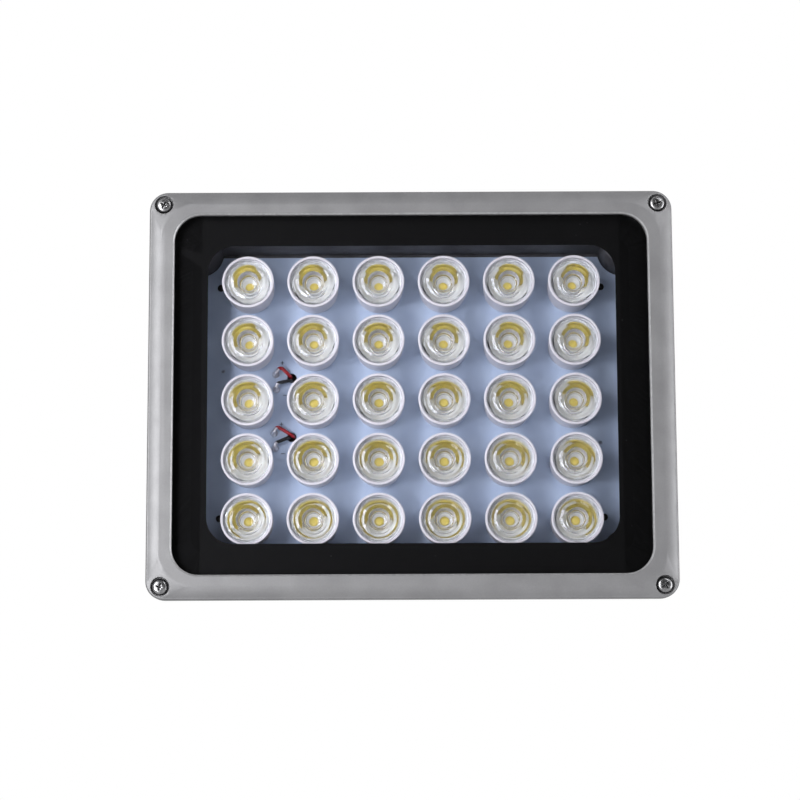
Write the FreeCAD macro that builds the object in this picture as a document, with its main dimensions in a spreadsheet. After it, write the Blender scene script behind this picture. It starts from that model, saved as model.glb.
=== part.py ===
import FreeCAD, Part
import math
import os
import re
import Sketcher

os.makedirs("parts", exist_ok=True)
doc = FreeCAD.newDocument("WhiteLightIlluminator")
Vector = FreeCAD.Vector

# Driving dimensions in millimetres
#
# X runs to the viewer's right and Z up. Depths on the lamp head are counted from the front of its bezel
# towards the wall. Places on the bracket are counted from the wall plane.
SIZES = {
    # Front bezel, a die casting with a sloping outer land
    "bezel_width": 225, "bezel_height": 175.5, "bezel_corner": 8, "bezel_edge_round": 0.9,
    "land_drop": 2.2, "ridge_inset": 5.7, "ridge_corner": 16,
    "frame_side": 11, "frame_top": 10.5, "opening_corner": 11.5, "opening_chamfer": 0.7,
    "lip_thickness": 2.3,
    # Glass pane with its printed border, and the silicone gasket behind it
    "glass_lap": 4.2, "glass_thickness": 4, "glass_play": 0.5, "print_thickness": 0.2, "print_margin": 0.6,
    "border_side": 13.75, "border_top": 12.9, "window_corner": 11.3,
    "window_shift_x": 0.3, "window_shift_z": 0.5,
    "gasket_thickness": 1.5, "gasket_margin": 1.4,
    # Cross-recessed pan heads, as shares of the head's radius or height, and the taper of every screw's point
    "head_flat": 0.62, "head_bulge": 0.45, "cross_arm": 0.5, "cross_blade": 0.13, "cross_depth": 0.6,
    "screw_point": 0.5,
    # Bezel screws
    "bezel_screw_inset": 6.25, "bezel_screw_drop": 5.6, "bezel_screw_head": 3.5,
    "bezel_screw_head_height": 2.6, "bezel_screw_shank": 1.75, "bezel_screw_length": 14,
    "bezel_screw_seat": 4, "bezel_recess": 4.05, "bezel_screw_boss": 4.5, "bezel_screw_boss_length": 8,
    "screw_play": 0.2, "thread_play": 0.02, "tap_margin": 1,
    # Rear housing: flange, light tray, fins and driver compartment, cast in one
    "flange_inset": 1, "flange_thickness": 4,
    "cavity_side": 9, "cavity_top": 11.05, "gasket_corner": 6.4, "cavity_wall": 5, "tray_corner": 13,
    "corner_boss": 10.4, "corner_boss_shift": 0.8, "floor_thickness": 4,
    "cheek_height": 16, "cheek_inset": 9,
    "fin_count": 17, "fin_side": 9.5, "fin_thickness": 2.4, "fin_height": 24, "fin_inset": 3,
    "box_side": 25.5, "box_top": 20.2, "box_corner": 8, "box_wall": 4, "box_depth": 40,
    "box_inner_corner": 4, "box_boss": 5.5, "box_boss_inset": 9,
    "lead_hole": 3.5,
    # LED board, thermal pad and what is fixed to the board
    "board_side_gap": 2, "board_top_gap": 1.6, "board_thickness": 1.6, "board_play": 0.5,
    "board_lead_hole": 2.1, "lead_hole_shift": 4.05, "upper_lead_hole_drop": 0.515,
    "lower_lead_hole_drop": 0.915, "pad_thickness": 0.4, "pad_inset": 2,
    "locating_hole": 0.8, "locating_hole_inset": 7.9, "locating_hole_rise": 2.725,
    "locating_hole_drop": 3.725,
    "board_screw_gap": 2.95, "board_screw_drop": 0.5, "board_screw_head": 1.5,
    "board_screw_head_height": 1.2, "board_screw_shank": 0.8, "board_screw_length": 5,
    # Lens array
    "lens_columns": 6, "lens_rows": 5, "lens_side": 20, "lens_top": 13.1, "lens_array_z": -1.6,
    "rim_setback": 1.8, "holder_height": 20.2, "holder_share": 0.435, "holder_taper": 0.9,
    "holder_wall": 0.9, "holder_floor": 1.2, "holder_floor_hole": 4.3, "rim_round": 0.4, "rim_lip": 1.1,
    "lens_inset": 1.2, "lens_flange_height": 1.7, "lens_ledge": 0.5, "lens_foot_share": 0.5,
    "lens_setback": 0.9, "lens_side_radius": 17, "lens_play": 0.1,
    "lens_recess": 4.6, "lens_recess_floor": 4.1, "lens_recess_depth": 3.3,
    "lens_cavity": 3.4, "lens_cavity_top": 3, "lens_cavity_depth": 4.8,
    "emitter_body": 4, "emitter_body_height": 6, "emitter_dome": 2.7,
    # Leads and solder joints
    "solder_foot": 1.5, "solder_top": 0.85, "solder_height": 1, "lead_radius": 0.75, "lead_rise": 1.6,
    "lead_bend": 2.4, "lead_drop": 11, "lead_stagger": 3, "lead_entry": 5, "lead_spread": 3.5,
    # Drivers, their clamp and the terminal block
    "driver_length": 84, "driver_height": 32, "driver_depth": 24, "driver_shift_x": 4, "driver_gap": 3,
    "driver_edge": 1.5,
    "clamp_width": 12, "clamp_thickness": 1.2, "clamp_foot": 7, "clamp_play": 0.3, "clamp_screw_head": 2.7,
    "clamp_screw_head_height": 2, "clamp_screw_shank": 1.5, "clamp_screw_length": 4.5,
    "clamp_screw_edge": 0.5,
    "terminal_width": 10, "terminal_length": 26, "terminal_height": 10, "terminal_gap": 5,
    "terminal_pitch": 5, "mains_lead_radius": 0.9, "mains_lead_depth": 17,
    # Rear cover
    "cover_thickness": 3, "cover_gasket_thickness": 1.5, "cover_screw_head": 3.7,
    "cover_screw_head_height": 2.6, "cover_screw_shank": 2, "cover_screw_length": 14,
    "cover_gasket_inset": 0.6, "cover_edge_round": 1,
    # Cable gland in the underside of the driver compartment
    "gland_x": 28, "gland_depth": 20, "gland_thread": 8, "gland_play": 0.1, "gland_bore": 5,
    "gland_collar": 11, "gland_collar_height": 5, "gland_neck_length": 9, "gland_inner_length": 9.5,
    "locknut_height": 4.5, "gland_washer_thickness": 1.5, "gland_washer_radius": 10,
    "gland_cap_length": 15, "gland_cap_wall": 2.4, "gland_cap_gap": 1, "gland_cap_slope": 5,
    "gland_cap_mouth": 4.6, "gland_cap_lip": 1.6, "gland_bay_width": 33,
    "seal_bore": 3.5, "seal_length": 9, "seal_standout": 1, "seal_play": 0.05,
    # Mounting bracket and pivots
    "arm_reach": 102, "pivot_depth": 38, "bracket_thickness": 3, "bracket_bend": 4, "plate_height": 34,
    "arm_height": 25, "arm_end_round": 12, "arm_taper_start": 12, "arm_taper_end": 48,
    "slot_spacing": 100, "slot_width": 6.5, "slot_length": 16, "slot_round": 0.499, "centre_hole": 4.25,
    "pivot_boss": 10, "pivot_boss_length": 2.9, "pivot_shank": 3, "pivot_fit": 0.06, "pivot_bolt_length": 16,
    "pivot_head": 5, "pivot_head_height": 4, "spacer_thickness": 1, "spacer_radius": 9,
    "flat_washer_thickness": 1.2, "flat_washer_radius": 6.5, "washer_play": 0.3,
    "spring_washer_thickness": 1.6, "spring_washer_radius": 5.2, "spring_washer_turn": 345,
}

sheet = doc.addObject("Spreadsheet::Sheet", "Sizes")
for row, (alias, number) in enumerate(SIZES.items(), 1):
    sheet.set(f"A{row}", alias)
    sheet.set(f"B{row}", str(number))
    sheet.setAlias(f"B{row}", alias)
doc.recompute()

# Sizes that follow from others. The glass, tray, board and lens array all follow the bezel.
FOLLOWING = {
    "opening_width": "bezel_width - 2 * frame_side",
    "opening_height": "bezel_height - 2 * frame_top",
    "window_width": "opening_width - 2 * border_side",
    "window_height": "opening_height - 2 * border_top",
    "cavity_width": "opening_width - 2 * cavity_side",
    "cavity_height": "opening_height - 2 * cavity_top",
    "fin_pitch": "(cavity_width + 2 * cavity_wall - 2 * fin_side) / (fin_count - 1)",
    "box_width": "cavity_width - 2 * box_side",
    "box_height": "cavity_height - 2 * box_top",
    "board_width": "cavity_width - 2 * board_side_gap",
    "board_height": "cavity_height - 2 * board_top_gap",
    "lens_pitch_x": "(board_width - 2 * lens_side) / (lens_columns - 1)",
    "lens_pitch_z": "(board_height - 2 * lens_top) / (lens_rows - 1)",
    "last_lens_x": "board_width / 2 - lens_side",
    "board_screw_x": "last_lens_x + holder_foot + board_screw_gap",
    "board_screw_z": "board_height / 2 - lens_top - board_screw_drop",
    "lead_hole_x": "last_lens_x - lens_pitch_x / 2 - lead_hole_shift",
    "upper_gap_z": "lens_array_z + lens_pitch_z / 2",
    "lower_gap_z": "lens_array_z - lens_pitch_z / 2",
    "upper_lead_hole_z": "upper_gap_z - upper_lead_hole_drop",
    "lower_lead_hole_z": "lower_gap_z - lower_lead_hole_drop",
    "locating_hole_x": "board_width / 2 - locating_hole_inset",
    "upper_locating_hole_z": "upper_gap_z + locating_hole_rise",
    "lower_locating_hole_z": "lower_gap_z - locating_hole_drop",
    "holder_rim": "lens_pitch_z * holder_share",
    "holder_foot": "holder_rim - holder_taper",
    "lens_front": "holder_rim - lens_inset",
    "lens_shoulder": "lens_front - lens_ledge",
    "lens_foot": "lens_front * lens_foot_share",
}

# Depths that follow from the stack of pieces, front to back
FLANGE_FRONT = "(lip_thickness + glass_thickness + print_thickness + gasket_thickness)"
RIM_FRONT = f"({FLANGE_FRONT} + rim_setback)"
BOARD_FRONT = f"({RIM_FRONT} + holder_height)"
FLOOR_FRONT = f"({BOARD_FRONT} + board_thickness + pad_thickness)"
FLOOR_REAR = f"({FLOOR_FRONT} + floor_thickness)"
BOX_REAR = f"({FLOOR_REAR} + box_depth)"
COVER_FRONT = f"({BOX_REAR} + cover_gasket_thickness)"
COVER_REAR = f"({COVER_FRONT} + cover_thickness)"

# Half widths and screw places that several pieces share
TRAY_HALF_WIDTH = "(cavity_width / 2 + cavity_wall)"
TRAY_HALF_HEIGHT = "(cavity_height / 2 + cavity_wall)"
BEZEL_SCREW_X = "(bezel_width / 2 - bezel_screw_inset)"
BEZEL_SCREW_Z = "(bezel_height / 2 - bezel_screw_drop)"
CORNER_BOSS_X = "(cavity_width / 2 + corner_boss_shift)"
CORNER_BOSS_Z = "(cavity_height / 2 + corner_boss_shift)"
COVER_SCREW_X = "(box_width / 2 - box_boss_inset)"
COVER_SCREW_Z = "(box_height / 2 - box_boss_inset)"
DRIVER_Z = "(driver_gap / 2 + driver_height / 2)"
CLAMP_HALF = "(driver_gap / 2 + driver_height + clamp_play + clamp_thickness)"
CLAMP_SCREW_Z = f"({CLAMP_HALF} + clamp_foot / 2)"
DRIVER_LEFT = "(driver_shift_x - driver_length / 2)"
DRIVER_RIGHT = "(driver_shift_x + driver_length / 2)"
TERMINAL_X = f"({DRIVER_RIGHT} + terminal_gap + terminal_width / 2)"
BOX_UNDERSIDE = "(-(box_height / 2))"
PIVOT_BOSS_END = f"({TRAY_HALF_WIDTH} + pivot_boss_length)"
ARM_INNER = f"({PIVOT_BOSS_END} + spacer_thickness)"
ARM_OUTER = f"({ARM_INNER} + bracket_thickness)"
BOLT_SEAT = f"({ARM_OUTER} + flat_washer_thickness + spring_washer_thickness)"


def spelled_out(text):
    """Puts the formula of every size that follows from others in the place of its name."""
    def formula(name):
        return f"({spelled_out(FOLLOWING[name[0]])})" if name[0] in FOLLOWING else name[0]
    return re.sub(r"\b[a-z][a-z_]*\b", formula, text)


def linked(text):
    """Points every size that the text names at the spreadsheet."""
    return re.sub(r"\b([a-z][a-z_]*)\b(?!\()", r"Sizes.\1", spelled_out(text))


def size(text):
    """Works the text out from the spreadsheet's numbers."""
    return float(sheet.evalExpression(spelled_out(text)))


def bind(thing, expressions):
    """Binds the object's properties to expressions of named sizes."""
    for prop, text in expressions.items():
        thing.setExpression(prop, linked(text))


# Bodies, sketches and features

TOLERANCE = 0.01
pieces = []
volumes = {}


def place(piece, x="0", y="0", z="0"):
    bind(piece, {"Placement.Base.x": x, "Placement.Base.y": y, "Placement.Base.z": z})


def on_head(piece, x="0", y="0", z="0"):
    """Places a piece whose depths are counted from the front of the bezel."""
    place(piece, x, f"{y} - arm_reach - pivot_depth", z)


def new_body(label):
    body = doc.addObject("PartDesign::Body", label)
    body.Label = label
    body.AllowCompound = True
    on_head(body)
    pieces.append(body)
    return body


def origin_feature(body, role):
    return next(item for item in body.Origin.OriginFeatures if item.Role == role)


def new_sketch(body, plane="XZ_Plane", offset="0"):
    """A sketch on an origin plane. The front plane's normal points to the viewer, so depths count against
    it."""
    sketch = body.newObject("Sketcher::SketchObject", f"{body.Label}_sketch")
    sketch.AttachmentSupport = [(origin_feature(body, plane), "")]
    sketch.MapMode = "FlatFace"
    sign = "-" if plane == "XZ_Plane" else ""
    bind(sketch, {"AttachmentOffset.Base.z": f"{sign}({offset})"})
    return sketch


def constrain(sketch, kind, *where, expression=None):
    """Adds a constraint, and ties its number to the sizes where an expression is given."""
    if expression is None:
        sketch.addConstraint(Sketcher.Constraint(kind, *where))
        return
    index = sketch.addConstraint(Sketcher.Constraint(kind, *where, size(expression)))
    bind(sketch, {f"Constraints[{index}]": expression})


def draw_rectangle(sketch, width, height, corner=None, x="0", y="0"):
    """A rectangle about a centre, with rounded corners where a radius is given."""
    left, low = f"({x}) - ({width}) / 2", f"({y}) - ({height}) / 2"
    x0, y0 = size(left), size(low)
    x1, y1 = x0 + size(width), y0 + size(height)
    r = size(corner) if corner else 0
    runs = [((x0 + r, y0), (x1 - r, y0)), ((x1, y0 + r), (x1, y1 - r)),
            ((x1 - r, y1), (x0 + r, y1)), ((x0, y1 - r), (x0, y0 + r))]
    lines = [sketch.addGeometry(Part.LineSegment(Vector(*a, 0), Vector(*b, 0))) for a, b in runs]
    for line, kind in zip(lines, ("Horizontal", "Vertical") * 2):
        constrain(sketch, kind, line)
    if corner:
        centres = [(x1 - r, y0 + r), (x1 - r, y1 - r), (x0 + r, y1 - r), (x0 + r, y0 + r)]
        arcs = []
        for turn, (cx, cy) in enumerate(centres):
            circle = Part.Circle(Vector(cx, cy, 0), Vector(0, 0, 1), r)
            start = (turn - 1) * math.pi / 2
            arcs.append(sketch.addGeometry(Part.ArcOfCircle(circle, start, start + math.pi / 2)))
        for turn in range(4):
            constrain(sketch, "Tangent", lines[turn], 2, arcs[turn], 1)
            constrain(sketch, "Tangent", arcs[turn], 2, lines[(turn + 1) % 4], 1)
        for arc in arcs[1:]:
            constrain(sketch, "Equal", arcs[0], arc)
        constrain(sketch, "Radius", arcs[0], expression=corner)
    else:
        for turn in range(4):
            constrain(sketch, "Coincident", lines[turn], 2, lines[(turn + 1) % 4], 1)
    constrain(sketch, "DistanceX", -1, 1, lines[3], 1, expression=left)
    constrain(sketch, "DistanceY", -1, 1, lines[0], 1, expression=low)
    constrain(sketch, "DistanceX", lines[3], 1, lines[1], 1, expression=width)
    constrain(sketch, "DistanceY", lines[0], 1, lines[2], 1, expression=height)


def draw_circle(sketch, radius, x="0", y="0"):
    circle = sketch.addGeometry(Part.Circle(Vector(size(x), size(y), 0), Vector(0, 0, 1), size(radius)))
    constrain(sketch, "DistanceX", -1, 1, circle, 3, expression=x)
    constrain(sketch, "DistanceY", -1, 1, circle, 3, expression=y)
    constrain(sketch, "Radius", circle, expression=radius)


def draw_outline(sketch, points, arcs=None, hollows=()):
    """A closed outline through the points. arcs gives the radius of the run that starts at a point, which
    bulges to the right of its way, or to the left if it is in hollows."""
    arcs = arcs or {}
    spots = [Vector(size(x), size(y), 0) for x, y in points]
    ends = []
    for index, start in enumerate(spots):
        stop = spots[(index + 1) % len(spots)]
        if index in arcs:
            half = (stop - start) / 2
            radius = size(arcs[index])
            bulge = radius - math.sqrt(radius ** 2 - half.Length ** 2)
            side = Vector(half.y, -half.x, 0).normalize() * (-1 if index in hollows else 1)
            edge = sketch.addGeometry(Part.Arc(start, start + half + side * bulge, stop))
        else:
            edge = sketch.addGeometry(Part.LineSegment(start, stop))
        starts_first = (sketch.getPoint(edge, 1) - start).Length < (sketch.getPoint(edge, 2) - start).Length
        ends.append((edge, 1, 2) if starts_first else (edge, 2, 1))
    for index, (edge, first, last) in enumerate(ends):
        following, following_first, _ = ends[(index + 1) % len(ends)]
        constrain(sketch, "Coincident", edge, last, following, following_first)
        constrain(sketch, "DistanceX", -1, 1, edge, first, expression=points[index][0])
        constrain(sketch, "DistanceY", -1, 1, edge, first, expression=points[index][1])
        if index in arcs:
            constrain(sketch, "Radius", edge, expression=arcs[index])


def add(body, kind, sketch, length=None, backwards=False, **settings):
    """Adds a PartDesign feature on a sketch, and checks that it changed the solid's volume."""
    feature = body.newObject(f"PartDesign::{kind}", f"{body.Label}_{kind.lower()}")
    feature.Profile = sketch
    for prop, value in settings.items():
        setattr(feature, prop, value)
    if length:
        bind(feature, {"Length": length})
        feature.Reversed = backwards
    doc.recompute()
    volume = body.Shape.Volume
    if abs(volume - volumes.get(body.Label, 0)) < 1e-6:
        raise RuntimeError(f"{feature.Label} changes nothing")
    volumes[body.Label] = volume
    return feature


def pad(body, sketch, length, backwards=True, **settings):
    return add(body, "Pad", sketch, length, backwards, **settings)


def pocket(body, sketch, length, backwards=False):
    """Cuts against the sketch's normal, which on the front plane is away from the viewer."""
    return add(body, "Pocket", sketch, length, backwards)


def turn(body, points, arcs=None, angle=360):
    """Turns a profile of (radius, depth) points about the body's own Y axis."""
    sketch = new_sketch(body, "XY_Plane")
    draw_outline(sketch, points, arcs)
    return add(body, "Revolution", sketch, ReferenceAxis=(sketch, ["V_Axis"]), Angle=angle)


def repeat(body, axis, spacing, count, features=None):
    """Repeats the whole body, or some of its features, along an origin axis."""
    pattern = body.newObject("PartDesign::LinearPattern", f"{body.Label}_pattern")
    pattern.TransformMode = "Features" if features else "Whole shape"
    if features:
        pattern.Originals = features
    pattern.Direction = (origin_feature(body, axis), [""])
    pattern.Mode = "Spacing"
    bind(pattern, {"Offset": spacing, "Occurrences": count})
    body.Tip = pattern
    doc.recompute()
    return pattern


def four_corners(x, z):
    return [(f"{sx} * {x}", f"{sz} * {z}") for sx in ("-1", "1") for sz in ("-1", "1")]


def drill(body, centres, radius, start, length, plane="XZ_Plane", backwards=False):
    """Cuts round holes of one radius and depth."""
    sketch = new_sketch(body, plane, start)
    for x, y in centres:
        draw_circle(sketch, radius, x, y)
    return pocket(body, sketch, length, backwards)


def raise_bosses(body, centres, radius, start, length, plane="XZ_Plane", backwards=True):
    sketch = new_sketch(body, plane, start)
    for x, y in centres:
        draw_circle(sketch, radius, x, y)
    return pad(body, sketch, length, backwards)


def slab(label, width, height, corner, start, length, x="0", y="0"):
    """A new body that starts as a flat plate with rounded corners."""
    body = new_body(label)
    sketch = new_sketch(body, offset=start)
    draw_rectangle(sketch, width, height, corner, x, y)
    pad(body, sketch, length)
    return body


def cut_window(body, width, height, corner, start, length, x="0", y="0"):
    sketch = new_sketch(body, offset=start)
    draw_rectangle(sketch, width, height, corner, x, y)
    return pocket(body, sketch, length)


def edges_at_depth(body, depth, keep=lambda box: True):
    """Names the edges that lie whole at one depth of the body and pass the test."""
    found = []
    for number, edge in enumerate(body.Tip.Shape.Edges, 1):
        box = edge.BoundBox
        if abs(box.YMin - depth) < TOLERANCE and abs(box.YMax - depth) < TOLERANCE and keep(box):
            found.append(f"Edge{number}")
    return found


def soften(body, kind, edges, amount):
    """Rounds or chamfers edges of the body's last feature."""
    if not edges:
        raise RuntimeError(f"{body.Label} has no such edges")
    base = body.Tip
    feature = body.newObject(f"PartDesign::{kind}", f"{body.Label}_{kind.lower()}")
    feature.Base = (base, edges)
    bind(feature, {"Radius" if kind == "Fillet" else "Size": amount})
    doc.recompute()
    return feature


def pan_screw(label, head, head_height, shank, length, seat):
    """A cross-recessed pan-head screw that points backwards, with its head's underside at the seat."""
    body = new_body(label)
    crown = f"{seat} - {head_height}"
    point = f"{shank} * screw_point"
    turn(body, [("0", crown), (f"{head} * head_flat", crown), (head, f"{seat} - {head_height} * head_bulge"),
                (head, seat), (shank, seat), (shank, f"{seat} + {length} - {point}"),
                (f"{shank} - {point}", f"{seat} + {length}"), ("0", f"{seat} + {length}")])
    sketch = new_sketch(body, offset=crown)
    arm, blade = f"{head} * cross_arm", f"{head} * cross_blade"
    draw_outline(sketch, [(blade, arm), (f"-{blade}", arm), (f"-{blade}", blade), (f"-{arm}", blade),
                          (f"-{arm}", f"-{blade}"), (f"-{blade}", f"-{blade}"), (f"-{blade}", f"-{arm}"),
                          (blade, f"-{arm}"), (blade, f"-{blade}"), (arm, f"-{blade}"), (arm, blade),
                          (blade, blade)])
    pocket(body, sketch, f"{head_height} * cross_depth")
    return body


def spread(body, x, z):
    """Turns one piece into four, at the corners of a rectangle."""
    repeat(body, "X_Axis", f"2 * {x}", "2")
    repeat(body, "Z_Axis", f"2 * {z}", "2")
    on_head(body, f"-1 * {x}", "0", f"-1 * {z}")


# Front bezel, glass and gasket

def make_front_bezel():
    bezel = slab("front_bezel", "bezel_width", "bezel_height", "bezel_corner", "land_drop",
                 f"{FLANGE_FRONT} - land_drop")
    soften(bezel, "Fillet", edges_at_depth(bezel, size("land_drop")), "bezel_edge_round")
    outer = new_sketch(bezel, offset="land_drop")
    draw_rectangle(outer, "bezel_width - 2 * bezel_edge_round", "bezel_height - 2 * bezel_edge_round",
                   "bezel_corner - bezel_edge_round")
    ridge = new_sketch(bezel)
    draw_rectangle(ridge, "bezel_width - 2 * ridge_inset", "bezel_height - 2 * ridge_inset", "ridge_corner")
    add(bezel, "AdditiveLoft", outer, Sections=[ridge], Ruled=True)
    cut_window(bezel, "opening_width", "opening_height", "opening_corner", "0", FLANGE_FRONT)
    cut_window(bezel, "opening_width + 2 * glass_lap + 2 * glass_play",
               "opening_height + 2 * glass_lap + 2 * glass_play", "opening_corner + glass_lap + glass_play",
               "lip_thickness", FLANGE_FRONT)
    corners = four_corners(BEZEL_SCREW_X, BEZEL_SCREW_Z)
    drill(bezel, corners, "bezel_recess", "0", "bezel_screw_seat")
    drill(bezel, corners, "bezel_screw_shank + screw_play", "0", FLANGE_FRONT)
    high = size("bezel_height / 2 - ridge_inset") - TOLERANCE
    wide = size("bezel_width / 2 - ridge_inset") - TOLERANCE
    rim = edges_at_depth(bezel, 0, lambda box: max(box.ZMax, -box.ZMin) < high
                         and max(box.XMax, -box.XMin) < wide)
    soften(bezel, "Chamfer", rim, "opening_chamfer")


def make_glass():
    """The pane, the border printed on its rear face, and the gasket that it is pressed against."""
    width, height = "opening_width + 2 * glass_lap", "opening_height + 2 * glass_lap"
    slab("glass_pane", width, height, "opening_corner + glass_lap", "lip_thickness", "glass_thickness")
    front = "lip_thickness + glass_thickness"
    border = slab("black_border", f"{width} - 2 * print_margin", f"{height} - 2 * print_margin",
                  "opening_corner + glass_lap - print_margin", front, "print_thickness")
    cut_window(border, "window_width", "window_height", "window_corner", front, "print_thickness",
               "window_shift_x", "window_shift_z")
    front = f"{front} + print_thickness"
    gasket = slab("glass_gasket", f"{width} - 2 * gasket_margin", f"{height} - 2 * gasket_margin",
                  "opening_corner + glass_lap - gasket_margin", front, "gasket_thickness")
    cut_window(gasket, "cavity_width + 2 * gasket_margin", "cavity_height + 2 * gasket_margin",
               "gasket_corner", front, "gasket_thickness")


def make_bezel_screws():
    screws = pan_screw("bezel_screws", "bezel_screw_head", "bezel_screw_head_height", "bezel_screw_shank",
                       "bezel_screw_length", "bezel_screw_seat")
    spread(screws, BEZEL_SCREW_X, BEZEL_SCREW_Z)


# Rear housing

def make_rear_housing():
    housing = slab("rear_housing", "bezel_width - 2 * flange_inset", "bezel_height - 2 * flange_inset",
                   "bezel_corner - flange_inset", FLANGE_FRONT, "flange_thickness")
    shape_light_tray(housing)
    shape_pivot_bosses(housing)
    shape_heat_sink(housing)
    shape_driver_compartment(housing)


def shape_light_tray(housing):
    """The tray that holds the LED board, with its corner bosses and all holes cut from the front."""
    tray = new_sketch(housing, offset=FLANGE_FRONT)
    draw_rectangle(tray, f"2 * {TRAY_HALF_WIDTH}", f"2 * {TRAY_HALF_HEIGHT}", "tray_corner")
    pad(housing, tray, f"{FLOOR_REAR} - {FLANGE_FRONT}")
    cavity = new_sketch(housing, offset=FLANGE_FRONT)
    wide, high = "cavity_width / 2", "cavity_height / 2"
    near = "sqrt(corner_boss ^ 2 - corner_boss_shift ^ 2)"
    short_wide, short_high = f"({CORNER_BOSS_X} - {near})", f"({CORNER_BOSS_Z} - {near})"
    draw_outline(cavity, [(wide, f"-{short_high}"), (wide, short_high), (short_wide, high),
                          (f"-{short_wide}", high), (f"-({wide})", short_high),
                          (f"-({wide})", f"-{short_high}"), (f"-{short_wide}", f"-({high})"),
                          (short_wide, f"-({high})")],
                 {corner: "corner_boss" for corner in (1, 3, 5, 7)}, hollows=(1, 3, 5, 7))
    pocket(housing, cavity, f"{FLOOR_FRONT} - {FLANGE_FRONT}")
    corners = four_corners(BEZEL_SCREW_X, BEZEL_SCREW_Z)
    raise_bosses(housing, corners, "bezel_screw_boss", FLANGE_FRONT,
                 "flange_thickness + bezel_screw_boss_length")
    drill(housing, corners, "bezel_screw_shank + thread_play", FLANGE_FRONT,
          f"bezel_screw_seat + bezel_screw_length + tap_margin - {FLANGE_FRONT}")
    drill(housing, four_corners("board_screw_x", "board_screw_z"), "board_screw_shank + thread_play",
          FLOOR_FRONT, "board_screw_length - board_thickness - pad_thickness")
    drill(housing, [("-lead_hole_x", "upper_lead_hole_z"), ("-lead_hole_x", "lower_lead_hole_z")],
          "lead_hole", FLOOR_FRONT, "floor_thickness")


def shape_pivot_bosses(housing):
    """The outer side walls run on behind the floor, where they carry the pivot bosses."""
    cheeks = new_sketch(housing, offset=FLOOR_REAR)
    for sign in ("-1", "1"):
        draw_rectangle(cheeks, "cavity_wall", f"2 * {TRAY_HALF_HEIGHT} - 2 * cheek_inset",
                       x=f"{sign} * ({TRAY_HALF_WIDTH} - cavity_wall / 2)")
    pad(housing, cheeks, "cheek_height")
    for sign, forward in (("-1", True), ("1", False)):
        raise_bosses(housing, [("pivot_depth", "0")], "pivot_boss", f"{sign} * {TRAY_HALF_WIDTH}",
                     "pivot_boss_length", "YZ_Plane", forward)
        drill(housing, [("pivot_depth", "0")], "pivot_shank + thread_play", f"{sign} * {PIVOT_BOSS_END}",
              f"{PIVOT_BOSS_END} - {BOLT_SEAT} + pivot_bolt_length + tap_margin", "YZ_Plane", forward)


def shape_heat_sink(housing):
    """Upright fins on the tray's back, with a bay for the cable gland."""
    fin = new_sketch(housing, offset=FLOOR_REAR)
    draw_rectangle(fin, "fin_thickness", f"2 * {TRAY_HALF_HEIGHT} - 2 * fin_inset",
                   x="fin_pitch * (1 - fin_count) / 2")
    first_fin = pad(housing, fin, "fin_height")
    repeat(housing, "X_Axis", "fin_pitch", "fin_count", [first_fin])
    bay_height = f"{TRAY_HALF_HEIGHT} - box_height / 2"
    cut_window(housing, "gland_bay_width", bay_height, None, FLOOR_REAR, "box_depth", "gland_x",
               f"-(box_height / 2) - ({bay_height}) / 2")


def shape_driver_compartment(housing):
    """The compartment behind the tray, with bosses for the rear cover's screws."""
    box = new_sketch(housing, offset=FLOOR_REAR)
    draw_rectangle(box, "box_width", "box_height", "box_corner")
    pad(housing, box, "box_depth")
    cut_window(housing, "box_width - 2 * box_wall", "box_height - 2 * box_wall", "box_inner_corner",
               FLOOR_REAR, "box_depth")
    screws = four_corners(COVER_SCREW_X, COVER_SCREW_Z)
    raise_bosses(housing, screws, "box_boss", FLOOR_REAR, "box_depth")
    drill(housing, screws, "cover_screw_shank + thread_play",
          f"{COVER_REAR} - cover_screw_length - tap_margin", "cover_screw_length + tap_margin")
    drill(housing, [("driver_shift_x", CLAMP_SCREW_Z), ("driver_shift_x", f"-1 * {CLAMP_SCREW_Z}")],
          "clamp_screw_shank + thread_play", f"{FLOOR_REAR} + clamp_thickness - clamp_screw_length",
          "clamp_screw_length - clamp_thickness")
    drill(housing, [("gland_x", f"{FLOOR_REAR} + gland_depth")], "gland_thread + gland_play",
          f"{BOX_UNDERSIDE} + box_wall", "box_wall", "XY_Plane")


# LED board, emitters, lens holders and lenses

def notch_corners(body, start, length, play):
    drill(body, four_corners(CORNER_BOSS_X, CORNER_BOSS_Z), f"corner_boss + {play}", start, length)


def make_board():
    leads = [("-lead_hole_x", "upper_lead_hole_z"), ("-lead_hole_x", "lower_lead_hole_z")]
    screws = four_corners("board_screw_x", "board_screw_z")
    board = slab("led_board", "board_width", "board_height", None, BOARD_FRONT, "board_thickness")
    notch_corners(board, BOARD_FRONT, "board_thickness", "board_play")
    drill(board, leads, "board_lead_hole", BOARD_FRONT, "board_thickness")
    drill(board, screws, "board_screw_shank + screw_play", BOARD_FRONT, "board_thickness")
    spots = [("-locating_hole_x", "upper_locating_hole_z"), ("locating_hole_x", "lower_locating_hole_z")]
    drill(board, spots, "locating_hole", BOARD_FRONT, "board_thickness")

    back = f"{BOARD_FRONT} + board_thickness"
    thermal = slab("thermal_pad", "board_width - 2 * pad_inset", "board_height - 2 * pad_inset", None,
                   back, "pad_thickness")
    notch_corners(thermal, back, "pad_thickness", "board_play + pad_inset")
    drill(thermal, leads, "lead_hole", back, "pad_thickness")
    drill(thermal, screws, "board_screw_shank + screw_play", back, "pad_thickness")

    fixings = pan_screw("board_screws", "board_screw_head", "board_screw_head_height", "board_screw_shank",
                        "board_screw_length", BOARD_FRONT)
    spread(fixings, "board_screw_x", "board_screw_z")


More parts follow.
